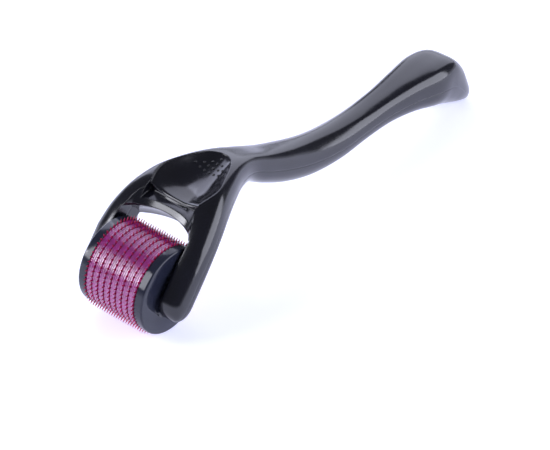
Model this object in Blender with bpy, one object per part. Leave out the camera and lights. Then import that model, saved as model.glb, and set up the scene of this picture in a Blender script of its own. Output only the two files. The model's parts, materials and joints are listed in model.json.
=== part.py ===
"""Derma roller: a curved two-shell handle whose fork carries a spinning drum of needle discs.

Frame: +X along the drum's axle, +Y from the drum to the tail of the handle, +Z up.
The roller stands on its needle tips and on the heel of its tail. The origin is on the
ground under the middle of its bounding box. Sizes below are in millimetres, and places
in the YZ plane are measured from the axle.
"""
import math

import bmesh
import bpy
from mathutils import Matrix, Vector

MM = 0.001

# ---- drum --------------------------------------------------------------------------
DRUM_RADIUS = 10.5             # plastic surface of the rings
NEEDLE_TIP_RADIUS = 11.4
NEEDLE_ROOT_RADIUS = 10.3
NEEDLES_PER_DISC = 60
DISC_COUNT = 9
DISC_PITCH = 1.76
DISC_THICKNESS = 0.2
FIT_GAP = 0.3                  # clearance between pieces that touch on the real object
CAP_THICKNESS = 2.0
CAP_CHAMFER = 0.5
CAP_RECESS_RADIUS = 6.2
CAP_RECESS_DEPTH = 0.4
HUB_RADIUS = 6.6               # across the corners of the octagon
HUB_SIDES = 8
AXLE_RADIUS = 1.0
RUNNING_GAP = 0.35             # hub bore to pin

# ---- fork and handle ---------------------------------------------------------------
ARM_INNER_X = 10.2             # inner face of each fork arm
ARM_OUTER_X = 15.0
ARM_TIP_X = 11.8               # the outer face curves in to this at the very end
ARM_END_CENTRE = (-1.0, -0.9)  # centre of the arm's round end, seen from the side
ARM_END_RADIUS = 4.4
PIN_SOCKET_DEPTH = 2.4
WALL = 1.8                     # shell thickness
HANDLE_LEAN = math.radians(0.82)  # about the axle, which brings the heel to the ground
SECTION_POINTS = 40
SIDE_POWER = 2.6               # the upper half's sides are never squarer than this
STEPS_BETWEEN_STATIONS = 2

# Handle stations, tail tip first: top point, bottom point, half width, and the superellipse
# exponents of the upper and the lower half of the section. A high upper exponent gives a
# flat top, while SIDE_POWER keeps the sides below it rounded.
HANDLE_STATIONS = (
    ((128.1, -8.9), (127.6, -9.9), 2.0, 2.0, 2.0),
    ((127.6, -6.4), (126.0, -10.0), 3.5, 2.3, 2.1),
    ((126.0, -3.4), (123.4, -9.0), 4.8, 2.7, 2.2),
    ((123.5, 0.4), (119.7, -7.8), 5.7, 3.1, 2.3),
    ((120.4, 4.7), (115.9, -6.5), 6.3, 3.4, 2.3),
    ((115.8, 8.0), (111.9, -5.1), 6.8, 3.6, 2.3),
    ((109.1, 8.8), (107.6, -3.7), 7.1, 3.6, 2.3),
    ((100.0, 8.4), (100.0, -2.0), 5.75, 3.4, 2.3),
    ((90.0, 7.5), (90.5, -1.1), 4.6, 2.9, 2.3),
    ((80.0, 7.0), (80.5, -1.4), 4.4, 2.3, 2.3),
    ((70.0, 7.4), (69.5, -2.1), 4.7, 2.05, 2.3),
    ((60.0, 8.9), (58.5, -1.2), 4.7, 2.05, 2.3),
    ((51.0, 11.1), (48.5, 1.7), 4.6, 2.5, 2.3),
    ((42.5, 13.7), (40.0, 5.6), 4.45, 3.4, 2.3),
    ((35.0, 16.6), (33.0, 9.4), 4.55, 4.6, 2.3),
    ((28.5, 18.6), (27.5, 9.9), 6.15, 5.0, 2.4),
    ((22.0, 19.4), (22.8, 9.2), 8.5, 5.0, 2.5),
    ((15.1, 18.9), (18.5, 8.5), 10.95, 5.5, 2.6),
    ((9.1, 16.2), (14.7, 8.0), 13.0, 5.5, 2.8),
    ((3.9, 12.1), (10.8, 6.1), 14.4, 5.5, 3.0),
    ((-0.2, 7.8), (6.7, 2.3), 15.0, 5.5, 3.4),
)
CAVITY_FIRST, CAVITY_LAST = 4, 14      # stations that the hollow runs between

# Thumb dish: distance from the axle, floor height, rim height, half width
DISH_STATIONS = (
    (10.4, 15.2, 16.1, 6.9),
    (13.5, 15.0, 17.5, 8.0),
    (16.5, 15.1, 18.4, 8.1),
    (20.5, 15.8, 19.0, 6.6),
    (24.0, 16.8, 19.0, 4.9),
    (27.0, 17.9, 18.9, 3.1),
    (28.6, 18.6, 18.9, 1.2),
)
DISH_FLATNESS = 2.8            # exponents that give the dish's section a flat floor and
DISH_SOFTNESS = 1.2            # sides that ease into the rim
LEDGE_BACK, LEDGE_FRONT = (11.0, 14.6), (5.0, 13.3)    # step in front of the dish
LEDGE_HALF_WIDTH = 7.2

# Opening over the drum: its back wall leans away from the drum above SLOT_BEND_Z
SLOT_BACK_Y = 7.7
SLOT_BEND_Z = 12.75
SLOT_LEAN = 0.79               # millimetres back for each millimetre up
SLOT_CORNER_LENGTH = 6.0
CLEARANCE_CREST_RADIUS = 15.2  # underside of the bridge, at the middle of the drum
CLEARANCE_FALL = 0.025         # drop of the radius per square millimetre along the axle
CLEARANCE_HALF_WIDTH = ARM_INNER_X - 0.1

OVERHANG = 40.0                # how far a cutter runs past the part
HEEL_DEPTH = NEEDLE_TIP_RADIUS  # the heel is cut flat at the ground
TAIL_END_Y = 127.96
AXLE = (0.0, -(TAIL_END_Y - NEEDLE_TIP_RADIUS) / 2, NEEDLE_TIP_RADIUS)

# ---- colours -----------------------------------------------------------------------
BLACK_GLOSS = ((0.010, 0.010, 0.013), 0.12, 0.0)
SLATE = ((0.048, 0.052, 0.070), 0.30, 0.0)
MAGENTA = ((0.46, 0.06, 0.30), 0.22, 0.0)
STEEL = ((0.62, 0.62, 0.64), 0.28, 1.0)
HUB_PLASTIC = ((0.30, 0.04, 0.20), 0.35, 0.0)


def clear_scene():
    for obj in list(bpy.data.objects):
        bpy.data.objects.remove(obj, do_unlink=True)


def make_material(name, look):
    colour, roughness, metallic = look
    material = bpy.data.materials.new(name)
    material.use_nodes = True
    shader = material.node_tree.nodes["Principled BSDF"]
    shader.inputs["Base Color"].default_value = (*colour, 1.0)
    shader.inputs["Roughness"].default_value = roughness
    shader.inputs["Metallic"].default_value = metallic
    return material


def object_from_bmesh(bm, name, smooth_below=35.0):
    bmesh.ops.recalc_face_normals(bm, faces=bm.faces)
    mesh = bpy.data.meshes.new(name)
    bm.to_mesh(mesh)
    bm.free()
    mesh.shade_smooth()
    mesh.set_sharp_from_angle(angle=math.radians(smooth_below))
    obj = bpy.data.objects.new(name, mesh)
    bpy.context.collection.objects.link(obj)
    return obj


def lean(obj):
    """The handle is drawn level, then leans back about the axle until its heel is down."""
    obj.data.transform(Matrix.Rotation(-HANDLE_LEAN, 4, "X"))
    return obj


def mark_cutter(obj):
    obj.hide_render = True
    obj.display_type = "WIRE"
    return obj


def cut(obj, cutter, operation="DIFFERENCE"):
    modifier = obj.modifiers.new(operation.title(), "BOOLEAN")
    modifier.operation = operation
    modifier.solver = "EXACT"
    modifier.object = cutter


# ---- lofts -------------------------------------------------------------------------
def bridge_rings(bm, first, second):
    count = len(first)
    for k in range(count):
        nxt = (k + 1) % count
        bm.faces.new((first[k], first[nxt], second[nxt], second[k]))


def closed_loft(name, rings_of_points):
    """Solid through rings of (x, y, z) points."""
    bm = bmesh.new()
    rings = [[bm.verts.new(Vector(point) * MM) for point in ring] for ring in rings_of_points]
    for first, second in zip(rings, rings[1:]):
        bridge_rings(bm, first, second)
    bm.faces.new(rings[0])
    bm.faces.new(rings[-1])
    return object_from_bmesh(bm, name)


def hermite(points, index, t):
    """Catmull-Rom curve through a list of vectors, between points index and index + 1."""
    before = points[max(index - 1, 0)]
    start = points[index]
    end = points[index + 1]
    after = points[min(index + 2, len(points) - 1)]
    return 0.5 * (2 * start + (end - before) * t
                  + (2 * before - 5 * start + 4 * end - after) * t ** 2
                  + (3 * start - before - 3 * end + after) * t ** 3)


def smooth_stations(stations, steps):
    """Station tuples, flattened to vectors and refined with steps intervals between them."""
    flat = [Vector((*top, *bottom, *section)) for top, bottom, *section in stations]
    refined = [hermite(flat, i, k / steps) for i in range(len(flat) - 1) for k in range(steps)]
    return refined + [flat[-1]]


def arm_end_stations():
    """Sections that close the arms with a round end."""
    last_top, last_bottom = (Vector(p) for p in HANDLE_STATIONS[-1][:2])
    end_powers = HANDLE_STATIONS[-1][3:]
    centre = Vector(ARM_END_CENTRE)
    along = (centre - (last_top + last_bottom) / 2).normalized()
    across = Vector((along.y, -along.x))       # towards the top side
    stations = []
    for degrees in (0, 20, 38, 54, 68, 80, 87):
        angle = math.radians(degrees)
        middle = centre + along * ARM_END_RADIUS * math.sin(angle)
        half = across * ARM_END_RADIUS * math.cos(angle)
        width = ARM_TIP_X + (ARM_OUTER_X - ARM_TIP_X) * math.sqrt(math.cos(angle))
        stations.append(Vector((*(middle + half), *(middle - half), width, *end_powers)))
    return stations


def signed_power(value, power):
    return math.copysign(abs(value) ** power, value)


def section_ring(station, inset=0.0):
    """Superellipse between a station's top and bottom points, as (x, y, z) points."""
    top_y, top_z, bottom_y, bottom_z, width, top_power, bottom_power = station
    middle = Vector(((top_y + bottom_y) / 2, (top_z + bottom_z) / 2))
    half = Vector((top_y - bottom_y, top_z - bottom_z)) / 2
    half *= max(half.length - inset, 0.05) / half.length
    ring = []
    for k in range(SECTION_POINTS):
        angle = 2 * math.pi * k / SECTION_POINTS
        upper = 2 * k <= SECTION_POINTS
        flatness = top_power if upper else bottom_power
        roundness = min(top_power, SIDE_POWER) if upper else bottom_power
        side = (width - inset) * signed_power(math.cos(angle), 2 / flatness)
        place = middle + half * signed_power(math.sin(angle), 2 / roundness)
        ring.append((side, place.x, place.y))
    return ring


def loft(name, stations, inset=0.0):
    return closed_loft(name, [section_ring(station, inset) for station in stations])


# ---- cutters -----------------------------------------------------------------------
def circle(radius, count):
    return [(radius * math.cos(2 * math.pi * k / count),
             radius * math.sin(2 * math.pi * k / count)) for k in range(count)]


def prism_along_x(name, outline, half_width):
    """Solid with an outline of (y, z) points, from -half_width to +half_width."""
    rings = [[(x, y, z) for y, z in outline] for x in (-half_width, half_width)]
    return mark_cutter(closed_loft(name, rings))


def slot_outline(back_y, corners=12):
    """Plan of the opening over the drum, with a rounded back, as (x, y) points."""
    outline = [(ARM_INNER_X, -OVERHANG)]
    for k in range(corners + 1):
        angle = math.pi * k / corners
        x = ARM_INNER_X * signed_power(math.cos(angle), 0.8)
        y = back_y - SLOT_CORNER_LENGTH * (1 - signed_power(math.sin(angle), 0.8))
        outline.append((x, y))
    outline.append((-ARM_INNER_X, -OVERHANG))
    return outline


def slot_cutter():
    """Prism that opens the fork over the drum: upright at first, then leaning back."""
    rise = OVERHANG / 2
    levels = ((-OVERHANG, SLOT_BACK_Y), (SLOT_BEND_Z, SLOT_BACK_Y),
              (SLOT_BEND_Z + rise, SLOT_BACK_Y + SLOT_LEAN * rise))
    rings = [[(x, y, z) for x, y in slot_outline(back_y)] for z, back_y in levels]
    return mark_cutter(closed_loft("slot_cutter", rings))


def turned_solid(name, profile, segments):
    """Solid turned about the axle from (x, radius) points that start and end off the axle."""
    return closed_loft(name, [[(x, y, z) for y, z in circle(radius, segments)]
                              for x, radius in profile])


def drum_clearance_cutter():
    """Barrel that clears the drum and hollows the underside of the bridge."""
    steps = 12
    profile = []
    for k in range(steps + 1):
        x = CLEARANCE_HALF_WIDTH * (2 * k / steps - 1)
        profile.append((x, CLEARANCE_CREST_RADIUS - CLEARANCE_FALL * x * x))
    return mark_cutter(turned_solid("clearance_cutter", profile, 72))


def dish_cutter():
    """Scoop with a flat floor and easy sides, open upwards."""
    across = 20
    flat = [Vector(row) for row in DISH_STATIONS]
    steps = 3
    rows = [hermite(flat, i, k / steps) for i in range(len(flat) - 1) for k in range(steps)]
    rows.append(flat[-1])
    rings = []
    for y, floor, rim, width in rows:
        ring = []
        for k in range(across + 1):
            share = -math.cos(math.pi * k / across)
            depth = (rim - floor) * (1 - abs(share) ** DISH_FLATNESS) ** DISH_SOFTNESS
            ring.append((width * share, y, rim - depth))
        rings.append(ring + [(width, y, OVERHANG), (-width, y, OVERHANG)])
    return mark_cutter(closed_loft("dish_cutter", rings))


def ledge_cutter():
    (back_y, back_z), (front_y, front_z) = LEDGE_BACK, LEDGE_FRONT
    outline = ((back_y, back_z), (back_y, OVERHANG), (front_y, OVERHANG), (front_y, front_z))
    return prism_along_x("ledge_cutter", outline, LEDGE_HALF_WIDTH)


def parting_cutter(name, stations, side):
    """Everything above (side = 1) or below (side = -1) the parting surface."""
    middles = [Vector((s[0] + s[2], s[1] + s[3])) / 2 for s in stations]
    tip = middles[0] + (middles[0] - middles[1]).normalized() * OVERHANG / 4
    end = middles[-1] + (middles[-1] - middles[-3]).normalized() * OVERHANG / 4
    line = [tip, *middles, end]
    shifted = []
    for index, point in enumerate(line):
        ahead = line[min(index + 1, len(line) - 1)]
        behind = line[max(index - 1, 0)]
        direction = (ahead - behind).normalized()
        normal = Vector((direction.y, -direction.x))
        shifted.append(point + normal * side * FIT_GAP / 2)
    far = OVERHANG * side
    if side > 0:
        corners = [Vector((-OVERHANG / 2, shifted[-1].y)), Vector((-OVERHANG / 2, far)),
                   Vector((shifted[0].x + OVERHANG / 4, far)),
                   Vector((shifted[0].x + OVERHANG / 4, shifted[0].y))]
    else:
        corners = [Vector((shifted[-1].x, far)), Vector((shifted[0].x, far))]
    return prism_along_x(name, [tuple(p) for p in shifted + corners], OVERHANG)


def round_bar(name, radius, x_from, x_to, sides=32):
    bm = bmesh.new()
    matrix = Matrix.Translation(Vector(((x_from + x_to) / 2, 0, 0)) * MM) @ Matrix.Rotation(
        math.pi / 2, 4, "Y")
    bmesh.ops.create_cone(bm, cap_ends=True, segments=sides, radius1=radius * MM,
                          radius2=radius * MM, depth=(x_to - x_from) * MM, matrix=matrix)
    return object_from_bmesh(bm, name)


def heel_cutter():
    start = TAIL_END_Y - OVERHANG / 2
    end = TAIL_END_Y + OVERHANG / 2
    outline = ((start, -HEEL_DEPTH), (end, -HEEL_DEPTH), (end, -OVERHANG), (start, -OVERHANG))
    return prism_along_x("heel_cutter", outline, OVERHANG)


# ---- pieces ------------------------------------------------------------------------
def make_handle():
    stations = smooth_stations(HANDLE_STATIONS, STEPS_BETWEEN_STATIONS) + arm_end_stations()
    first = CAVITY_FIRST * STEPS_BETWEEN_STATIONS
    last = CAVITY_LAST * STEPS_BETWEEN_STATIONS + 1
    socket_reach = ARM_INNER_X + PIN_SOCKET_DEPTH
    drawn_level = [
        slot_cutter(),
        drum_clearance_cutter(),
        dish_cutter(),
        ledge_cutter(),
        mark_cutter(loft("cavity_cutter", stations[first:last], inset=WALL)),
        mark_cutter(round_bar("socket_cutter", AXLE_RADIUS + FIT_GAP, -socket_reach, socket_reach)),
    ]
    cutters = [lean(cutter) for cutter in drawn_level] + [heel_cutter()]
    for name, side in (("handle_upper_shell", 1), ("handle_lower_shell", -1)):
        shell = lean(loft(name, stations))
        shell.data.materials.append(make_material(name, BLACK_GLOSS))
        for cutter in cutters:
            cut(shell, cutter)
        cut(shell, lean(parting_cutter(name + "_half", stations, side)), "INTERSECT")


def make_axle():
    reach = ARM_INNER_X + PIN_SOCKET_DEPTH - FIT_GAP
    pin = round_bar("axle_pin", AXLE_RADIUS, -reach, reach, sides=24)
    pin.data.materials.append(make_material("axle_pin", STEEL))


def drum_reach():
    """Distance from the middle of the drum to the inner face of an end cap."""
    return DISC_PITCH * (DISC_COUNT - 1) / 2 + DISC_THICKNESS / 2 + FIT_GAP


def octagon(radius):
    return circle(radius, HUB_SIDES)


def plate_with_hole(name, outer, inner, x_from, x_to):
    """Flat plate with an outer outline and one hole, both star-shaped about the axle."""
    bm = bmesh.new()
    outlines = []
    for points in (outer, inner):
        verts = [bm.verts.new(Vector((x_from, y, z)) * MM) for y, z in points]
        outlines += [bm.edges.new((a, b)) for a, b in zip(verts, verts[1:] + verts[:1])]
    bmesh.ops.triangle_fill(bm, use_beauty=True, edges=outlines)
    grown = bmesh.ops.extrude_face_region(bm, geom=list(bm.faces))
    moved = [v for v in grown["geom"] if isinstance(v, bmesh.types.BMVert)]
    bmesh.ops.translate(bm, verts=moved, vec=((x_to - x_from) * MM, 0, 0))
    return object_from_bmesh(bm, name)


def needle_outline():
    """Zigzag outline: a root and a tip for each needle."""
    points = []
    for k in range(NEEDLES_PER_DISC):
        for radius, turn in ((NEEDLE_TIP_RADIUS, k), (NEEDLE_ROOT_RADIUS, k + 0.5)):
            angle = 2 * math.pi * turn / NEEDLES_PER_DISC
            points.append((-radius * math.sin(angle), -radius * math.cos(angle)))
    return points


def make_drum():
    bore = octagon(HUB_RADIUS + FIT_GAP / math.cos(math.pi / HUB_SIDES))
    half_disc = DISC_THICKNESS / 2
    first_x = -DISC_PITCH * (DISC_COUNT - 1) / 2
    for k in range(DISC_COUNT):
        x = first_x + DISC_PITCH * k
        name = "needle_disc_%d" % (k + 1)
        disc = plate_with_hole(name, needle_outline(), bore, x - half_disc, x + half_disc)
        disc.data.materials.append(make_material(name, STEEL))
        if k == DISC_COUNT - 1:
            continue
        name = "spacer_ring_%d" % (k + 1)
        ring = plate_with_hole(name, circle(DRUM_RADIUS, 36), bore, x + half_disc + FIT_GAP,
                               x + DISC_PITCH - half_disc - FIT_GAP)
        ring.data.materials.append(make_material(name, MAGENTA))
    hub_bore = circle(AXLE_RADIUS + RUNNING_GAP, 24)
    reach = drum_reach() - FIT_GAP
    hub = plate_with_hole("drum_hub", octagon(HUB_RADIUS), hub_bore, -reach, reach)
    hub.data.materials.append(make_material("drum_hub", HUB_PLASTIC))
    for name, side in (("end_cap_left", -1), ("end_cap_right", 1)):
        make_end_cap(name, side)


def make_end_cap(name, side):
    """Turned cap: a flat inner face, a chamfered rim and a shallow recess in the outer face."""
    inner = drum_reach()
    outer = inner + CAP_THICKNESS
    profile = (
        (AXLE_RADIUS + RUNNING_GAP, inner),
        (DRUM_RADIUS, inner),
        (DRUM_RADIUS, outer - CAP_CHAMFER),
        (DRUM_RADIUS - CAP_CHAMFER, outer),
        (CAP_RECESS_RADIUS, outer),
        (CAP_RECESS_RADIUS - CAP_RECESS_DEPTH, outer - CAP_RECESS_DEPTH),
        (AXLE_RADIUS + RUNNING_GAP, outer - CAP_RECESS_DEPTH),
    )
    bm = bmesh.new()
    rings = [[bm.verts.new(Vector((side * x, y, z)) * MM) for y, z in circle(radius, 48)]
             for radius, x in profile]
    for first, second in zip(rings, rings[1:] + rings[:1]):
        bridge_rings(bm, first, second)
    cap = object_from_bmesh(bm, name)
    cap.data.materials.append(make_material(name, SLATE))


def place_on_ground():
    """Everything is modelled about the axle, then moved so that the roller stands on z = 0."""
    for obj in bpy.data.objects:
        obj.location = Vector(AXLE) * MM


clear_scene()
make_handle()
make_axle()
make_drum()
place_on_ground()
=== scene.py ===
"""Looks of the derma roller: fine handle shells, needle drum, materials, light and camera.

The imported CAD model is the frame. Shapes are built in millimetres about the drum's axle
(+X along the axle, +Y towards the tail, +Z up) and placed on the axle that the frame gives.
"""
import json
import math

import bmesh
import bpy
from mathutils import Matrix, Vector

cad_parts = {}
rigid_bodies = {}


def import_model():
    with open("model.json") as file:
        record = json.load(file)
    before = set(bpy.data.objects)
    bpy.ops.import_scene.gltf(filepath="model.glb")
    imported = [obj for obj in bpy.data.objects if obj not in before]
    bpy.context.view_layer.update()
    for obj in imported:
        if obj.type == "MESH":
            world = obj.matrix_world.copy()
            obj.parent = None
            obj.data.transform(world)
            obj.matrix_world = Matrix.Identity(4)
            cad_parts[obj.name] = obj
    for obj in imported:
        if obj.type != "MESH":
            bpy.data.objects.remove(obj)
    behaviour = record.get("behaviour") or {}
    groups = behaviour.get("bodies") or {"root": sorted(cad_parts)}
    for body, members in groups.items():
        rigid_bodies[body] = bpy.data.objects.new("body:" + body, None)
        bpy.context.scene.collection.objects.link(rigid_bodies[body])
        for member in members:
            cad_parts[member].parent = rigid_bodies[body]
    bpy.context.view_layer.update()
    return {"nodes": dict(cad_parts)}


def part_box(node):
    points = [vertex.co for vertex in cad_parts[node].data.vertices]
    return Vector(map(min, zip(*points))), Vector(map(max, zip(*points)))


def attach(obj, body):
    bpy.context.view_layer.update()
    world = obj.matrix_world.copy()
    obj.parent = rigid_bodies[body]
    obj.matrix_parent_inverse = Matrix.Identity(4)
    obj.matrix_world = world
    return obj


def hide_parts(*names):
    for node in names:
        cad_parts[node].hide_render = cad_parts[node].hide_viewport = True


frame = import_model()

MM = 0.001
SMOOTH_BELOW = 32.0            # degrees: edges sharper than this stay sharp


# ---- measures from the frame ---------------------------------------------------------
def box_mm(node):
    low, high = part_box(node)
    return Vector(low) / MM, Vector(high) / MM


def middle_x(node):
    low, high = box_mm(node)
    return (low.x + high.x) / 2


pin_low, pin_high = box_mm("axle_pin")
AXLE = (pin_low + pin_high) / 2
AXLE_RADIUS = (pin_high.z - pin_low.z) / 2
ring_low, ring_high = box_mm("spacer_ring_1")
DRUM_RADIUS = (ring_high.z - ring_low.z) / 2
disc_low, disc_high = box_mm("needle_disc_1")
NEEDLE_TIP_RADIUS = (disc_high.z - disc_low.z) / 2
cap_low, cap_high = box_mm("end_cap_right")
CAP_INNER_X, CAP_OUTER_X = cap_low.x, cap_high.x
DISC_NODES = sorted(n for n in frame["nodes"] if n.startswith("needle_disc"))
RING_NODES = sorted(n for n in frame["nodes"] if n.startswith("spacer_ring"))

# ---- handle --------------------------------------------------------------------------
ARM_INNER_X = 10.2             # inner face of each fork arm
ARM_OUTER_X = 15.0
ARM_TIP_X = 11.8               # the outer face curves in to this at the very end
ARM_END_CENTRE = (-1.0, -0.9)  # centre of the arm's round end, seen from the side
ARM_END_RADIUS = 4.4
ARM_END_TURN = 88.5            # degrees: the round end stops just short of a point
PIN_SOCKET_RADIUS = 1.3
PIN_SOCKET_DEPTH = 2.4
WALL = 1.8
HANDLE_LEAN = math.radians(0.82)  # about the axle, which brings the heel to the ground
SECTION_POINTS = 120
SIDE_POWER = 2.6               # the upper half's sides are never squarer than this
STEPS_BETWEEN_STATIONS = 6
SEAM_GAP = 0.02                # between the two shells

# Handle stations, tail tip first: top point, bottom point, half width, and the superellipse
# exponents of the upper and the lower half of the section
HANDLE_STATIONS = (
    ((128.1, -8.9), (127.6, -9.9), 2.0, 2.0, 2.0),
    ((127.6, -6.4), (126.0, -10.0), 3.5, 2.3, 2.1),
    ((126.0, -3.4), (123.4, -9.0), 4.8, 2.7, 2.2),
    ((123.5, 0.4), (119.7, -7.8), 5.7, 3.1, 2.3),
    ((120.4, 4.7), (115.9, -6.5), 6.3, 3.4, 2.3),
    ((115.8, 8.0), (111.9, -5.1), 6.8, 3.6, 2.3),
    ((109.1, 8.8), (107.6, -3.7), 7.1, 3.6, 2.3),
    ((100.0, 8.4), (100.0, -2.0), 5.75, 3.4, 2.3),
    ((90.0, 7.5), (90.5, -1.1), 4.6, 2.9, 2.3),
    ((80.0, 7.0), (80.5, -1.4), 4.4, 2.3, 2.3),
    ((70.0, 7.4), (69.5, -2.1), 4.7, 2.05, 2.3),
    ((60.0, 8.9), (58.5, -1.2), 4.7, 2.05, 2.3),
    ((51.0, 11.1), (48.5, 1.7), 4.6, 2.5, 2.3),
    ((42.5, 13.7), (40.0, 5.6), 4.45, 3.4, 2.3),
    ((35.0, 16.6), (33.0, 9.4), 4.55, 4.6, 2.3),
    ((28.5, 18.6), (27.5, 9.9), 6.15, 5.0, 2.4),
    ((22.0, 19.4), (22.8, 9.2), 8.5, 5.0, 2.5),
    ((15.1, 18.9), (18.5, 8.5), 10.95, 5.5, 2.6),
    ((9.1, 16.2), (14.7, 8.0), 13.0, 5.5, 2.8),
    ((3.9, 12.1), (10.8, 6.1), 14.4, 5.5, 3.0),
    ((-0.2, 7.8), (6.7, 2.3), 15.0, 5.5, 3.4),
)
CAVITY_FIRST, CAVITY_LAST = 4, 14      # stations that the hollow runs between
CAVITY_STEP = 3                # only every third refined section is used for it

# Thumb dish: distance from the axle, floor height, rim height, half width
DISH_STATIONS = (
    (10.4, 15.2, 16.1, 6.9),
    (13.5, 15.0, 17.5, 8.0),
    (16.5, 15.1, 18.4, 8.1),
    (20.5, 15.8, 19.0, 6.6),
    (24.0, 16.8, 19.0, 4.9),
    (27.0, 17.9, 18.9, 3.1),
    (28.6, 18.6, 18.9, 1.2),
)
DISH_FLATNESS = 2.8            # exponents that give the dish's section a flat floor and
DISH_SOFTNESS = 1.2            # sides that ease into the rim
LIP_Y = 11.0                   # front lip of the dish
LIP_RADIUS = 0.7
LEDGE_BACK, LEDGE_FRONT = (11.0, 14.6), (5.0, 13.3)    # step in front of the dish
LEDGE_HALF_WIDTH = 7.2
DOT_ROWS = ((22.7, 7), (24.2, 5), (25.6, 3), (27.0, 1))    # distance from the axle, count
DOT_SPACING = 1.35
DOT_RADIUS, DOT_HEIGHT = 0.34, 0.22
SLOPE_STEP = 0.2               # to each side of a dot, over which the dish's slope is taken

# Opening over the drum: its back wall leans away from the drum above SLOT_BEND_Z
SLOT_BACK_Y = 7.7
SLOT_BEND_Z = 12.75
SLOT_LEAN = 0.79               # millimetres back for each millimetre up
SLOT_CORNER_LENGTH = 6.0
SLOT_CORNER_POWER = 0.8        # below 1, so the back corners are squarer than an ellipse
CLEARANCE_CREST_RADIUS = 15.2  # underside of the bridge, at the middle of the drum
CLEARANCE_FALL = 0.025         # drop of the radius per square millimetre along the axle
CLEARANCE_HALF_WIDTH = ARM_INNER_X - 0.1

OVERHANG = 40.0                # how far a cutter runs past the part
HEEL_DEPTH = NEEDLE_TIP_RADIUS  # the heel stands as low as the needle tips
TAIL_END_Y = 127.96

# ---- drum ----------------------------------------------------------------------------
NEEDLES_PER_DISC = 60
NEEDLE_WIDTH = 0.42            # at its foot
NEEDLE_THICKNESS = 0.16        # also a disc's thickness
NEEDLE_WAIST_HEIGHT = 0.3      # above the plastic, where the needle starts to run to its point
NEEDLE_WAIST_SHARE = 1 / 1.2   # its width there, as a share of the foot's
NEEDLE_FOOT_DEPTH = 0.25       # how deep its foot is set under the plastic
NEEDLE_FOOT_THIN, NEEDLE_WAIST_THIN = 0.9, 0.8     # thickness there, as shares of the disc's
DISC_SUNK = 0.15               # how far a disc's rim lies under the plastic
DRUM_BORE = DRUM_RADIUS - 3.3  # hidden inner radius of the discs and rings
RING_GAP = 0.05                # between a ring and the disc beside it
RING_ROUNDING = 0.16
GROOVE_HALF_WIDTH, GROOVE_DEPTH = 0.09, 0.05
CAP_LAP = 0.2                  # how far a cap reaches in past its CAD solid
CAP_CORNER = 0.45
CAP_RECESS_DEPTH = 0.4
CAP_RECESS_RADII = (6.3, 6.2, 5.85, 5.75)      # down the step into the recess
CAP_RECESS_EASE = 0.02         # height of the eased edge at the step's top and foot
CAP_BOSS_SUNK = 0.05           # how far the boss stays below the cap's face
CAP_BOSS_EASE = 0.05
CAP_BOSS_RADII = (2.7, 2.5, 2.4)               # up the side of the boss
CAP_START_EASE = 0.1
CAP_RUNNING_GAP = 0.35         # around the pin
TURN_SEGMENTS = 180


# ---- mesh helpers --------------------------------------------------------------------
def object_from_bmesh(bm, name, smooth_below=SMOOTH_BELOW):
    bmesh.ops.recalc_face_normals(bm, faces=bm.faces)
    mesh = bpy.data.meshes.new(name)
    bm.to_mesh(mesh)
    bm.free()
    mesh.shade_smooth()
    mesh.set_sharp_from_angle(angle=math.radians(smooth_below))
    obj = bpy.data.objects.new(name, mesh)
    bpy.context.collection.objects.link(obj)
    return obj


def place(x, y, z):
    """A point about the axle, in millimetres, as a point of the frame in metres."""
    return (AXLE + Vector((x, y, z))) * MM


def place_leaning(x, y, z):
    """The same for the handle, whose shape is given before it leans about the axle."""
    return place(*(Matrix.Rotation(-HANDLE_LEAN, 3, "X") @ Vector((x, y, z))))


def bridge_rings(bm, first, second):
    count = len(first)
    for k in range(count):
        nxt = (k + 1) % count
        bm.faces.new((first[k], first[nxt], second[nxt], second[k]))


def closed_loft(name, rings_of_points, put=place_leaning):
    """Closed body through rings of (x, y, z) points."""
    bm = bmesh.new()
    rings = [[bm.verts.new(put(*point)) for point in ring] for ring in rings_of_points]
    for first, second in zip(rings, rings[1:]):
        bridge_rings(bm, first, second)
    bm.faces.new(rings[0])
    bm.faces.new(rings[-1])
    return object_from_bmesh(bm, name)


def cut(obj, cutter, operation="DIFFERENCE"):
    modifier = obj.modifiers.new(operation.title(), "BOOLEAN")
    modifier.operation = operation
    modifier.solver = "EXACT"
    modifier.object = cutter


def apply_modifiers(obj):
    bpy.context.view_layer.update()
    evaluated = obj.evaluated_get(bpy.context.evaluated_depsgraph_get())
    mesh = bpy.data.meshes.new_from_object(evaluated)
    obj.modifiers.clear()
    old = obj.data
    obj.data = mesh
    bpy.data.meshes.remove(old)
    mesh.shade_smooth()
    mesh.set_sharp_from_angle(angle=math.radians(SMOOTH_BELOW))


def remove_objects(objects):
    for obj in objects:
        bpy.data.objects.remove(obj, do_unlink=True)


# ---- handle shells -------------------------------------------------------------------
def hermite(points, index, t):
    """Catmull-Rom curve through a list of vectors, between points index and index + 1."""
    before = points[max(index - 1, 0)]
    start = points[index]
    end = points[index + 1]
    after = points[min(index + 2, len(points) - 1)]
    return 0.5 * (2 * start + (end - before) * t
                  + (2 * before - 5 * start + 4 * end - after) * t ** 2
                  + (3 * start - before - 3 * end + after) * t ** 3)


def smooth_stations(stations, steps):
    flat = [Vector((*top, *bottom, *section)) for top, bottom, *section in stations]
    refined = [hermite(flat, i, k / steps) for i in range(len(flat) - 1) for k in range(steps)]
    return refined + [flat[-1]]


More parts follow.
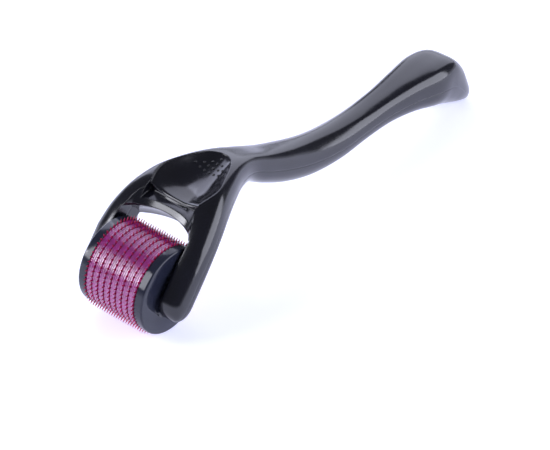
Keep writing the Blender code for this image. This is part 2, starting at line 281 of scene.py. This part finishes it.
def arm_end_stations():
    """Sections that close the arms with a round end."""
    last_top, last_bottom = (Vector(p) for p in HANDLE_STATIONS[-1][:2])
    end_powers = HANDLE_STATIONS[-1][3:]
    centre = Vector(ARM_END_CENTRE)
    along = (centre - (last_top + last_bottom) / 2).normalized()
    across = Vector((along.y, -along.x))       # towards the top side
    stations = []
    steps = 16
    for k in range(steps):
        angle = math.radians(ARM_END_TURN * k / (steps - 1))
        middle = centre + along * ARM_END_RADIUS * math.sin(angle)
        half = across * ARM_END_RADIUS * math.cos(angle)
        width = ARM_TIP_X + (ARM_OUTER_X - ARM_TIP_X) * math.sqrt(math.cos(angle))
        stations.append(Vector((*(middle + half), *(middle - half), width, *end_powers)))
    return stations


def signed_power(value, power):
    return math.copysign(abs(value) ** power, value)


def even_quarter(flatness, roundness, count):
    """Quarter of a section of unit half sizes, from (1, 0) towards (0, 1), evenly spaced."""
    fine = 240
    trace = []
    for k in range(fine + 1):
        angle = math.pi / 2 * k / fine
        trace.append((signed_power(math.cos(angle), 2 / flatness) if k < fine else 0.0,
                      signed_power(math.sin(angle), 2 / roundness)))
    travelled = [0.0]
    for first, second in zip(trace, trace[1:]):
        travelled.append(travelled[-1] + math.dist(first, second))
    points = []
    at = 0
    for k in range(count):
        wanted = travelled[-1] * k / count
        while travelled[at + 1] < wanted:
            at += 1
        share = (wanted - travelled[at]) / (travelled[at + 1] - travelled[at])
        points.append(tuple(a + (b - a) * share for a, b in zip(trace[at], trace[at + 1])))
    return points


def unit_section(top_power, bottom_power):
    """Whole section of unit half sizes as (side, height) points, anticlockwise from (1, 0)."""
    count = SECTION_POINTS // 4
    upper = even_quarter(top_power, min(top_power, SIDE_POWER), count)
    lower = even_quarter(bottom_power, bottom_power, count)
    upper_left = [(0.0, 1.0)] + [(-x, y) for x, y in upper[:0:-1]]
    lower_left = [(-x, -y) for x, y in lower]
    lower_right = [(0.0, -1.0)] + [(x, -y) for x, y in lower[:0:-1]]
    return upper + upper_left + lower_left + lower_right


def section_points(station, inset=0.0):
    top_y, top_z, bottom_y, bottom_z, width, top_power, bottom_power = station
    middle = Vector(((top_y + bottom_y) / 2, (top_z + bottom_z) / 2))
    half = Vector((top_y - bottom_y, top_z - bottom_z)) / 2
    half *= max(half.length - inset, 0.05) / half.length
    ring = []
    for side, height in unit_section(top_power, bottom_power):
        point = middle + half * height
        ring.append(((width - inset) * side, point.x, point.y))
    return ring


def turned_rings(profile, segments):
    return [[(x, radius * math.cos(2 * math.pi * k / segments),
              radius * math.sin(2 * math.pi * k / segments)) for k in range(segments)]
            for x, radius in profile]


def prism_along_x(name, outline, half_width, put=place_leaning):
    rings = [[(x, y, z) for y, z in outline] for x in (-half_width, half_width)]
    return closed_loft(name, rings, put)


def slot_cutter():
    """Prism that opens the fork over the drum: upright at first, then leaning back."""
    corners = 64
    rise = OVERHANG / 2
    levels = ((-OVERHANG, SLOT_BACK_Y), (SLOT_BEND_Z, SLOT_BACK_Y),
              (SLOT_BEND_Z + rise, SLOT_BACK_Y + SLOT_LEAN * rise))
    rings = []
    for z, back_y in levels:
        ring = [(ARM_INNER_X, -OVERHANG, z)]
        for k in range(corners + 1):
            angle = math.pi * k / corners
            x = ARM_INNER_X * signed_power(math.cos(angle), SLOT_CORNER_POWER)
            inward = 1 - signed_power(math.sin(angle), SLOT_CORNER_POWER)
            y = back_y - SLOT_CORNER_LENGTH * inward
            ring.append((x, y, z))
        ring.append((-ARM_INNER_X, -OVERHANG, z))
        rings.append(ring)
    return closed_loft("slot_cutter", rings)


def clearance_cutter():
    """Barrel that clears the drum and hollows the underside of the bridge."""
    steps = 48
    profile = []
    for k in range(steps + 1):
        x = CLEARANCE_HALF_WIDTH * (2 * k / steps - 1)
        profile.append((x, CLEARANCE_CREST_RADIUS - CLEARANCE_FALL * x * x))
    return closed_loft("clearance_cutter", turned_rings(profile, 200))


def dish_row(y):
    """Floor height, rim height and half width of the dish at a distance from the axle."""
    flat = [Vector(row) for row in DISH_STATIONS]
    index = max(i for i in range(len(flat) - 1) if flat[i][0] <= y or i == 0)
    low, high = 0.0, 1.0
    for _ in range(30):
        t = (low + high) / 2
        if hermite(flat, index, t)[0] < y:
            low = t
        else:
            high = t
    _, floor, rim, width = hermite(flat, index, (low + high) / 2)
    into_lip = LIP_Y + LIP_RADIUS - y
    if into_lip > 0:
        inside = max(LIP_RADIUS ** 2 - into_lip ** 2, 0.0)
        floor -= LIP_RADIUS - math.sqrt(inside) + max(into_lip - LIP_RADIUS, 0.0)
    return floor, rim, width


def dish_section(x, floor, rim, width):
    """Height of the dish's surface at x, across one of its rows."""
    share = min(abs(x) / width, 1.0)
    return rim - (rim - floor) * (1 - share ** DISH_FLATNESS) ** DISH_SOFTNESS


def dish_height(x, y):
    """Height of the dish's surface at any point in it."""
    return dish_section(x, *dish_row(y))


def dish_cutter():
    """Scoop with a flat floor and easy sides, open upwards."""
    across = 72
    first, last = DISH_STATIONS[0][0], DISH_STATIONS[-1][0]
    ys = [first, LIP_Y - 0.1, LIP_Y]
    ys += [LIP_Y + LIP_RADIUS * (1 - math.cos(math.pi / 2 * k / 6)) for k in range(1, 7)]
    rows = 60
    ys += [LIP_Y + LIP_RADIUS + (last - LIP_Y - LIP_RADIUS) * k / rows for k in range(1, rows)]
    rings = []
    for y in ys:
        floor, rim, width = dish_row(y)
        ring = []
        for k in range(across + 1):
            x = -width * math.cos(math.pi * k / across)
            ring.append((x, y, dish_section(x, floor, rim, width)))
        ring += [(width, y, OVERHANG), (-width, y, OVERHANG)]
        rings.append(ring)
    return closed_loft("dish_cutter", rings)


def ledge_cutter():
    (back_y, back_z), (front_y, front_z) = LEDGE_BACK, LEDGE_FRONT
    outline = ((back_y, back_z), (back_y, OVERHANG), (front_y, OVERHANG), (front_y, front_z))
    return prism_along_x("ledge_cutter", outline, LEDGE_HALF_WIDTH)


def heel_cutter():
    start = TAIL_END_Y - OVERHANG / 2
    end = TAIL_END_Y + OVERHANG / 2
    outline = ((start, -HEEL_DEPTH), (end, -HEEL_DEPTH), (end, -OVERHANG), (start, -OVERHANG))
    return prism_along_x("heel_cutter", outline, OVERHANG, place)


def parting_cutter(name, stations, side):
    """Everything above (side = 1) or below (side = -1) the parting surface."""
    middles = [Vector((s[0] + s[2], s[1] + s[3])) / 2 for s in stations]
    tip = middles[0] + (middles[0] - middles[1]).normalized() * OVERHANG / 4
    end = middles[-1] + (middles[-1] - middles[-3]).normalized() * OVERHANG / 4
    line = [tip, *middles, end]
    shifted = []
    for index, point in enumerate(line):
        ahead = line[min(index + 1, len(line) - 1)]
        behind = line[max(index - 1, 0)]
        direction = (ahead - behind).normalized()
        normal = Vector((direction.y, -direction.x))
        shifted.append(point + normal * side * SEAM_GAP / 2)
    far = OVERHANG * side
    if side > 0:
        corners = [Vector((-OVERHANG / 2, shifted[-1].y)), Vector((-OVERHANG / 2, far)),
                   Vector((shifted[0].x + OVERHANG / 4, far)),
                   Vector((shifted[0].x + OVERHANG / 4, shifted[0].y))]
    else:
        corners = [Vector((shifted[-1].x, far)), Vector((shifted[0].x, far))]
    return prism_along_x(name, [tuple(p) for p in shifted + corners], OVERHANG)


def make_handle(material):
    fine = smooth_stations(HANDLE_STATIONS, STEPS_BETWEEN_STATIONS)
    stations = fine + arm_end_stations()
    body = closed_loft("handle_body", [section_points(s) for s in stations])
    hollow = fine[CAVITY_FIRST * STEPS_BETWEEN_STATIONS:CAVITY_LAST * STEPS_BETWEEN_STATIONS + 1]
    socket_reach = ARM_INNER_X + PIN_SOCKET_DEPTH
    socket = turned_rings(((-socket_reach, PIN_SOCKET_RADIUS),
                           (socket_reach, PIN_SOCKET_RADIUS)), 48)
    cutters = [heel_cutter(), slot_cutter(), clearance_cutter(), dish_cutter(), ledge_cutter(),
               closed_loft("cavity_cutter",
                           [section_points(s, WALL) for s in hollow[::CAVITY_STEP]]),
               closed_loft("socket_cutter", socket)]
    for cutter in cutters:
        cut(body, cutter)
    apply_modifiers(body)
    for name, node, side in (("upper_shell", "handle_upper_shell", 1),
                             ("lower_shell", "handle_lower_shell", -1)):
        shell = bpy.data.objects.new(name, body.data.copy())
        bpy.context.collection.objects.link(shell)
        half = parting_cutter(name + "_half", stations, side)
        cut(shell, half, "INTERSECT")
        apply_modifiers(shell)
        cutters.append(half)
        shell.data.materials.clear()
        shell.data.materials.append(material)
        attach(shell, "handle")
        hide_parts(node)
    remove_objects(cutters + [body])


def make_thumb_dots(material):
    """Small raised grip dots in the thumb dish, set out in a triangle."""
    bm = bmesh.new()
    for y, count in DOT_ROWS:
        for k in range(count):
            x = DOT_SPACING * (k - (count - 1) / 2)
            ahead = dish_height(x, y + SLOPE_STEP) - dish_height(x, y - SLOPE_STEP)
            aside = dish_height(x + SLOPE_STEP, y) - dish_height(x - SLOPE_STEP, y)
            normal = Vector((-aside, -ahead, 2 * SLOPE_STEP)).normalized()
            turn = Vector((0, 0, 1)).rotation_difference(normal).to_matrix().to_4x4()
            size = Matrix.Diagonal((DOT_RADIUS * MM, DOT_RADIUS * MM, DOT_HEIGHT * MM, 1.0))
            at = Matrix.Translation(place_leaning(x, y, dish_height(x, y)))
            bmesh.ops.create_uvsphere(bm, u_segments=20, v_segments=12, radius=1.0,
                                      matrix=at @ turn @ size)
    dots = object_from_bmesh(bm, "thumb_dots", 60.0)
    dots.data.materials.append(material)
    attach(dots, "handle")


# ---- drum ----------------------------------------------------------------------------
def add_turned_band(bm, profile):
    """Ring turned from a closed profile of (x, radius) points."""
    rings = [[bm.verts.new(place(*point)) for point in ring]
             for ring in turned_rings(profile, TURN_SEGMENTS)]
    for first, second in zip(rings, rings[1:] + rings[:1]):
        bridge_rings(bm, first, second)


def turned_band(name, profile):
    bm = bmesh.new()
    add_turned_band(bm, profile)
    return object_from_bmesh(bm, name)


def ring_profile(x_from, x_to):
    """Spacer ring: rounded corners and two fine turned grooves."""
    outer = DRUM_RADIUS
    corner = RING_ROUNDING
    profile = [(x_from, DRUM_BORE)]
    for k in range(5):
        angle = math.pi / 2 * k / 4
        profile.append((x_from + corner * (1 - math.cos(angle)),
                        outer - corner * (1 - math.sin(angle))))
    third = (x_to - x_from) / 3
    for groove_x in (x_from + third, x_from + 2 * third):
        profile += [(groove_x - GROOVE_HALF_WIDTH, outer), (groove_x, outer - GROOVE_DEPTH),
                    (groove_x + GROOVE_HALF_WIDTH, outer)]
    for k in range(5):
        angle = math.pi / 2 * (1 - k / 4)
        profile.append((x_to - corner * (1 - math.cos(angle)),
                        outer - corner * (1 - math.sin(angle))))
    profile.append((x_to, DRUM_BORE))
    return profile


def make_rings(material):
    discs = [middle_x(node) for node in DISC_NODES]
    gap = NEEDLE_THICKNESS / 2 + RING_GAP
    for node, before, after in zip(RING_NODES, discs, discs[1:]):
        ring = turned_band("ring_" + node.rsplit("_", 1)[1],
                           ring_profile(before + gap, after - gap))
        ring.data.materials.append(material)
        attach(ring, "drum")
        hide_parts(node)


def needle_section(bm, x, angle, radius, half_width, half_depth):
    """Four corners of a needle at one distance from the axle."""
    outward = Vector((0, math.cos(angle), math.sin(angle)))
    aside = Vector((0, -math.sin(angle), math.cos(angle)))
    return [bm.verts.new(place(*(outward * radius + aside * half_width * a
                                 + Vector((x + half_depth * b, 0, 0)))))
            for a, b in ((1, 1), (1, -1), (-1, -1), (-1, 1))]


def make_needle_disc(name, x, turn):
    """Thin disc (first material) whose rim carries a ring of sharp needles (second)."""
    bm = bmesh.new()
    rim = DRUM_RADIUS - DISC_SUNK
    half = NEEDLE_THICKNESS / 2
    add_turned_band(bm, ((x - half, DRUM_BORE), (x - half, rim), (x + half, rim),
                         (x + half, DRUM_BORE)))
    disc_faces = len(bm.faces)
    for k in range(NEEDLES_PER_DISC):
        angle = 2 * math.pi * (k + turn) / NEEDLES_PER_DISC
        foot = needle_section(bm, x, angle, DRUM_RADIUS - NEEDLE_FOOT_DEPTH,
                              NEEDLE_WIDTH / 2, half * NEEDLE_FOOT_THIN)
        waist = needle_section(bm, x, angle, DRUM_RADIUS + NEEDLE_WAIST_HEIGHT,
                               NEEDLE_WIDTH / 2 * NEEDLE_WAIST_SHARE, half * NEEDLE_WAIST_THIN)
        tip = bm.verts.new(place(x, NEEDLE_TIP_RADIUS * math.cos(angle),
                                 NEEDLE_TIP_RADIUS * math.sin(angle)))
        bridge_rings(bm, foot, waist)
        for first, second in zip(waist, waist[1:] + waist[:1]):
            bm.faces.new((first, second, tip))
        bm.faces.new(foot)
    bm.faces.ensure_lookup_table()
    for face in bm.faces[disc_faces:]:
        face.material_index = 1
    return object_from_bmesh(bm, name)


def make_needles(disc_material, needle_material):
    for index, node in enumerate(DISC_NODES):
        disc = make_needle_disc("needles_" + node.rsplit("_", 1)[1], middle_x(node),
                                0.5 * (index % 2))
        disc.data.materials.append(disc_material)
        disc.data.materials.append(needle_material)
        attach(disc, "drum")
        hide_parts(node)


def make_caps(material):
    """End caps: rounded rim, turned face with a shallow recess and a hub boss."""
    bore = AXLE_RADIUS + CAP_RUNNING_GAP
    start = CAP_INNER_X - CAP_LAP
    floor_x = CAP_OUTER_X - CAP_RECESS_DEPTH
    boss_x = CAP_OUTER_X - CAP_BOSS_SUNK
    profile = [(start, bore), (start, DRUM_RADIUS - CAP_START_EASE),
               (start + CAP_START_EASE, DRUM_RADIUS)]
    for k in range(7):
        angle = math.pi / 2 * k / 6
        profile.append((CAP_OUTER_X - CAP_CORNER * (1 - math.sin(angle)),
                        DRUM_RADIUS - CAP_CORNER * (1 - math.cos(angle))))
    step_xs = (CAP_OUTER_X, CAP_OUTER_X - CAP_RECESS_EASE, floor_x + CAP_RECESS_EASE, floor_x)
    step = zip(step_xs, CAP_RECESS_RADII)
    boss = zip((floor_x, boss_x - CAP_BOSS_EASE, boss_x), CAP_BOSS_RADII)
    profile += [*step, *boss, (boss_x, bore)]
    for name, node, side in (("cap_left", "end_cap_left", -1), ("cap_right", "end_cap_right", 1)):
        cap = turned_band(name, [(side * x, radius) for x, radius in profile])
        cap.data.materials.append(material)
        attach(cap, "drum")
        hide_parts(node)


# ---- materials -----------------------------------------------------------------------
class Nodes:
    """Short calls for building a material's node tree."""

    def __init__(self, name):
        self.material = bpy.data.materials.new(name)
        self.material.use_nodes = True
        self.tree = self.material.node_tree
        self.shader = self.tree.nodes["Principled BSDF"]
        self.place = self.add("ShaderNodeTexCoord").outputs["Object"]

    def add(self, kind, **settings):
        node = self.tree.nodes.new(kind)
        for key, value in settings.items():
            if key in node.inputs:
                node.inputs[key].default_value = value
            else:
                setattr(node, key, value)
        return node

    def link(self, output, socket):
        self.tree.links.new(output, socket)

    def noise(self, per_metre, detail=3.0, roughness=0.5):
        node = self.add("ShaderNodeTexNoise", Scale=per_metre, Detail=detail, Roughness=roughness)
        self.link(self.place, node.inputs["Vector"])
        return node.outputs["Fac"]

    def spread(self, value, low, high, start=0.3, end=0.7):
        """Stretch the usual range of a noise, start to end, to low to high."""
        node = self.add("ShaderNodeMapRange")
        for socket, number in zip(("From Min", "From Max", "To Min", "To Max"),
                                  (start, end, low, high)):
            node.inputs[socket].default_value = number
        self.link(value, node.inputs["Value"])
        return node.outputs["Result"]

    def mix_colours(self, factor, first, second):
        """Blend two colours; a mix node's colour sockets are inputs 6 and 7 and output 2."""
        node = self.add("ShaderNodeMix", data_type="RGBA")
        node.inputs[6].default_value = (*first, 1.0)
        node.inputs[7].default_value = (*second, 1.0)
        self.link(factor, node.inputs[0])
        return node.outputs[2]

    def colour(self, pattern, dark, light):
        """Base colour that wanders between two tints."""
        self.link(self.mix_colours(self.spread(pattern, 0.0, 1.0), dark, light),
                  self.shader.inputs["Base Color"])

    def roughness(self, pattern, low, high):
        self.link(self.spread(pattern, low, high), self.shader.inputs["Roughness"])

    def set(self, **numbers):
        """Constants on the shader's sockets, with _ for a space in a socket's name."""
        for name, number in numbers.items():
            self.shader.inputs[name.replace("_", " ")].default_value = number

    def bump(self, height, distance, strength, normal=None):
        node = self.add("ShaderNodeBump", Strength=strength, Distance=distance)
        self.link(height, node.inputs["Height"])
        if normal is not None:
            self.link(normal, node.inputs["Normal"])
        return node.outputs["Normal"]


def gloss_black():
    """Injection-moulded gloss ABS: near black, faint flow variation and fine wipe marks."""
    n = Nodes("gloss_black_plastic")
    n.colour(n.noise(90.0), (0.003, 0.003, 0.005), (0.005, 0.005, 0.010))
    n.roughness(n.noise(420.0, 5.0), 0.13, 0.19)
    edge = n.add("ShaderNodeBevel", samples=6, Radius=0.4 * MM)
    n.link(n.bump(n.noise(160.0, 2.0), 0.02 * MM, 0.10, edge.outputs["Normal"]),
           n.shader.inputs["Normal"])
    n.set(IOR=1.6)
    return n.material


def gloss_slate():
    """End caps: dark blue-grey moulded plastic, glossy with a faint waviness."""
    n = Nodes("gloss_slate_plastic")
    n.colour(n.noise(260.0), (0.012, 0.014, 0.026), (0.018, 0.020, 0.034))
    n.roughness(n.noise(900.0, 4.0), 0.09, 0.15)
    n.link(n.bump(n.noise(300.0, 2.0), 0.01 * MM, 0.2), n.shader.inputs["Normal"])
    n.set(IOR=1.45)
    return n.material


def clear_magenta():
    """Rings: tinted plastic that light soaks into, with faint turned streaks."""
    n = Nodes("tinted_magenta_plastic")
    n.colour(n.noise(500.0, 4.0), (0.225, 0.009, 0.14), (0.33, 0.020, 0.22))
    n.roughness(n.noise(1200.0, 4.0), 0.18, 0.28)
    n.link(n.bump(n.noise(1500.0, 3.0), 0.01 * MM, 0.15), n.shader.inputs["Normal"])
    n.set(IOR=1.6, Subsurface_Weight=0.35, Subsurface_Radius=(1.0, 0.3, 0.7),
          Subsurface_Scale=1.2 * MM, Coat_Weight=1.0, Coat_IOR=1.6, Coat_Roughness=0.2)
    return n.material


def bright_steel(name, dark, light, rough_low, rough_high):
    """Stainless steel with fine drawn variation."""
    n = Nodes(name)
    n.colour(n.noise(1400.0, 4.0), dark, light)
    n.roughness(n.noise(2200.0, 3.0), rough_low, rough_high)
    n.set(Metallic=1.0)
    return n.material


def crimson_needles():
    """Needles: steel that takes on the crimson of its coating."""
    n = Nodes("needle_steel")
    n.colour(n.noise(1400.0, 4.0), (0.36, 0.003, 0.05), (0.54, 0.010, 0.10))
    n.roughness(n.noise(2200.0, 3.0), 0.40, 0.55)
    n.set(Metallic=0.3)
    return n.material


def hub_plastic():
    n = Nodes("hub_plastic")
    n.colour(n.noise(300.0), (0.20, 0.02, 0.12), (0.30, 0.04, 0.20))
    n.roughness(n.noise(900.0), 0.30, 0.42)
    return n.material


def pale_floor():
    n = Nodes("pale_floor")
    n.colour(n.noise(6.0), (0.86, 0.86, 0.87), (0.89, 0.89, 0.90))
    n.roughness(n.noise(40.0), 0.55, 0.65)
    n.set(Specular_IOR_Level=0.2, Emission_Color=(0.66, 0.69, 1.0, 1.0), Emission_Strength=0.7)
    return n.material


def finish_cad_node(node, material):
    obj = bpy.data.objects[node]
    obj.data.materials.clear()
    obj.data.materials.append(material)


# ---- stage, light and camera ---------------------------------------------------------
TARGET = (-0.25, 49.23, -12.94)         # where the camera looks, about the axle
CAMERA_FROM_AXLE = (236.53, -266.12, 273.84)
CAMERA_ROLL = 3.183                     # degrees
LENS = 130.9                            # on a sensor of SENSOR_WIDTH
SENSOR_WIDTH = 36.0

SOFTBOX_DISTANCE = 1500.0

# Softboxes: compass angles from +Y towards +X and heights above the horizon, both in
# degrees from and to, then brightness and colour
SOFTBOXES = (
    ("back_softbox", (-48.0, 3.0), (7.0, 50.0), 1.8, (0.80, 0.82, 1.0)),
    ("left_softbox", (-78.0, -49.0), (8.0, 52.0), 3.0, (0.76, 0.78, 1.0)),
    ("front_softbox", (-157.0, -135.0), (15.0, 51.0), 7.0, (0.90, 0.91, 1.0)),
    ("low_front_softbox", (-137.0, -117.0), (10.0, 26.0), 12.0, (0.90, 0.91, 1.0)),
    ("right_softbox", (34.0, 100.0), (2.0, 42.0), 4.0, (0.84, 0.86, 1.0)),
)

# Sine of the heights where the horizon's glow starts to fade and is gone, strength at each
HORIZON_GLOW = (0.05, 0.15, 1.0, 0.17)
WORLD_COLOUR = (0.80, 0.83, 1.0, 1.0)
FLOOR_HALF = 3000.0
FLOOR_GAP = 0.02               # under the needle tips and the heel


def make_floor():
    bm = bmesh.new()
    half = FLOOR_HALF
    corners = [(-half, -half), (half, -half), (half, half), (-half, half)]
    level = -AXLE.z - FLOOR_GAP
    bm.faces.new([bm.verts.new(place(x, y, level)) for x, y in corners])
    floor = object_from_bmesh(bm, "floor")
    floor.data.materials.append(pale_floor())


def aim(obj, start, target, roll=0.0):
    """Turn a camera or light at start so that its -Z axis points at target."""
    away = (start - target).normalized()
    right = Vector((0, 0, 1)).cross(away).normalized()
    up = away.cross(right)
    matrix = Matrix((right, up, away)).transposed() @ Matrix.Rotation(roll, 3, "Z")
    obj.matrix_world = Matrix.Translation(start) @ matrix.to_4x4()


def make_lights():
    target = place(*TARGET)
    for name, compass, heights, brightness, colour in SOFTBOXES:
        bearing = math.radians(sum(compass) / 2)
        climb = math.radians(sum(heights) / 2)
        half_turn = math.radians((compass[1] - compass[0]) / 2)
        half_rise = math.radians((heights[1] - heights[0]) / 2)
        direction = Vector((math.sin(bearing) * math.cos(climb),
                            math.cos(bearing) * math.cos(climb), math.sin(climb)))
        light = bpy.data.lights.new(name, "AREA")
        light.shape = "RECTANGLE"
        reach = SOFTBOX_DISTANCE * MM
        light.size = 2 * reach * math.tan(half_turn) * math.cos(climb)
        light.size_y = 2 * reach * math.tan(half_rise)
        light.energy = brightness * math.pi * light.size * light.size_y
        light.color = colour
        lamp = bpy.data.objects.new(name, light)
        lamp.visible_camera = False
        bpy.context.collection.objects.link(lamp)
        aim(lamp, target + direction * reach, target)


def make_world():
    """Dim studio with a pale band at the horizon, where the floor ends."""
    world = bpy.data.worlds.new("studio")
    world.use_nodes = True
    nodes, links = world.node_tree.nodes, world.node_tree.links
    direction = nodes.new("ShaderNodeTexCoord").outputs["Generated"]
    split = nodes.new("ShaderNodeSeparateXYZ")
    links.new(direction, split.inputs[0])
    fade = nodes.new("ShaderNodeMapRange")
    fade.interpolation_type = "SMOOTHSTEP"
    for socket, number in zip(("From Min", "From Max", "To Min", "To Max"), HORIZON_GLOW):
        fade.inputs[socket].default_value = number
    links.new(split.outputs["Z"], fade.inputs["Value"])
    background = nodes["Background"]
    background.inputs["Color"].default_value = WORLD_COLOUR
    links.new(fade.outputs["Result"], background.inputs["Strength"])
    bpy.context.scene.world = world


def make_camera():
    data = bpy.data.cameras.new("camera")
    data.lens = LENS
    data.sensor_width = SENSOR_WIDTH
    data.clip_start = 0.01
    camera = bpy.data.objects.new("camera", data)
    bpy.context.collection.objects.link(camera)
    aim(camera, place(*CAMERA_FROM_AXLE), place(*TARGET), math.radians(CAMERA_ROLL))
    bpy.context.scene.camera = camera


# ---- build ---------------------------------------------------------------------------
black = gloss_black()
make_handle(black)
make_thumb_dots(black)
make_rings(clear_magenta())
make_needles(bright_steel("disc_steel", (0.14, 0.01, 0.05), (0.22, 0.02, 0.08), 0.30, 0.42),
             crimson_needles())
make_caps(gloss_slate())
finish_cad_node("axle_pin", bright_steel("pin_steel", (0.48, 0.48, 0.50), (0.66, 0.66, 0.68),
                                         0.22, 0.34))
finish_cad_node("drum_hub", hub_plastic())
make_floor()
make_world()
make_lights()
make_camera()
bpy.context.scene.view_settings.view_transform = "Standard"
